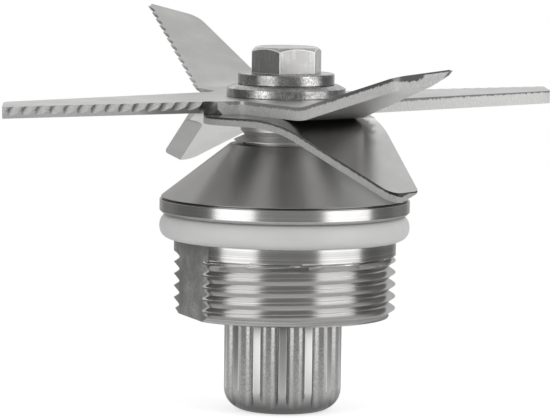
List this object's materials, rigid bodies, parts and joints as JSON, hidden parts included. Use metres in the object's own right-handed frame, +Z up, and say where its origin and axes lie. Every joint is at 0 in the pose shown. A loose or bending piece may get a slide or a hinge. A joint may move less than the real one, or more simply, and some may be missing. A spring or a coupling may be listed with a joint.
{
  "type": "blender blade assembly",
  "caption": "Screw-in blender blade assembly: a threaded bearing housing with a cone, a seal ring and a splined drive, carrying bent cutter blades with scalloped edges.",
  "frame": {"origin": "centre of the flat foot of the drive coupling, on the axis of rotation", "axes": "+Z up along the axis of rotation, from the drive coupling to the bolt; -Y towards the picture's camera"},
  "size_m": [0.0678, 0.0712, 0.049],
  "materials": {
    "bolt_steel": "machined stainless steel, satin",
    "washer_steel": "turned stainless steel, bright",
    "blade_steel": "stamped stainless steel, fine satin, ground edges",
    "shaft_steel": "turned stainless steel, bright",
    "housing_steel": "turned stainless steel, bright cone and threads",
    "silicone": "pale translucent silicone, matt",
    "coupling_steel": "turned and fluted stainless steel, bright",
    "seal_case_steel": "pressed steel",
    "seal_rubber": "black nitrile rubber, matt",
    "seal_spring_steel": "coiled spring steel",
    "bearing_ring_steel": "ground bearing steel",
    "bearing_ball_steel": "polished bearing steel",
    "bearing_cage_steel": "pressed steel",
    "bearing_shield_steel": "pressed steel",
    "spacer_steel": "turned steel",
    "retaining_steel": "darkened spring steel"
  },
  "bodies": {
    "housing": {"housing": "housing_steel", "sealing_ring": "silicone", "seal_case": "seal_case_steel", "seal_lip": "seal_rubber", "seal_spring": "seal_spring_steel", "upper_bearing_outer_ring": "bearing_ring_steel", "upper_bearing_shields": "bearing_shield_steel", "bearing_outer_spacer": "spacer_steel", "lower_bearing_outer_ring": "bearing_ring_steel", "lower_bearing_shields": "bearing_shield_steel", "retaining_ring": "retaining_steel"},
    "rotor": {"hex_bolt": "bolt_steel", "small_washer": "washer_steel", "large_washer": "washer_steel", "upper_blade": "blade_steel", "lower_blade": "blade_steel", "drive_shaft": "shaft_steel", "upper_bearing_inner_ring": "bearing_ring_steel", "bearing_inner_spacer": "spacer_steel", "lower_bearing_inner_ring": "bearing_ring_steel", "spline_coupling": "coupling_steel"},
    "upper_cage": {"upper_bearing_balls": "bearing_ball_steel", "upper_bearing_cage": "bearing_cage_steel"},
    "lower_cage": {"lower_bearing_balls": "bearing_ball_steel", "lower_bearing_cage": "bearing_cage_steel"}
  },
  "joints": [
    {"name": "rotor_spin", "type": "hinge", "parent": "housing", "child": "rotor", "pos_m": [0, 0, 0.0211], "axis": [0, 0, 1], "continuous": true},
    {"name": "upper_cage_spin", "type": "hinge", "parent": "housing", "child": "upper_cage", "pos_m": [0, 0, 0.025], "axis": [0, 0, 1], "continuous": true},
    {"name": "lower_cage_spin", "type": "hinge", "parent": "housing", "child": "lower_cage", "pos_m": [0, 0, 0.0172], "axis": [0, 0, 1], "continuous": true}
  ],
  "couplings": [
    {"joint": "upper_cage_spin", "follows": "rotor_spin", "ratio": 0.3677},
    {"joint": "lower_cage_spin", "follows": "rotor_spin", "ratio": 0.3677}
  ]
}
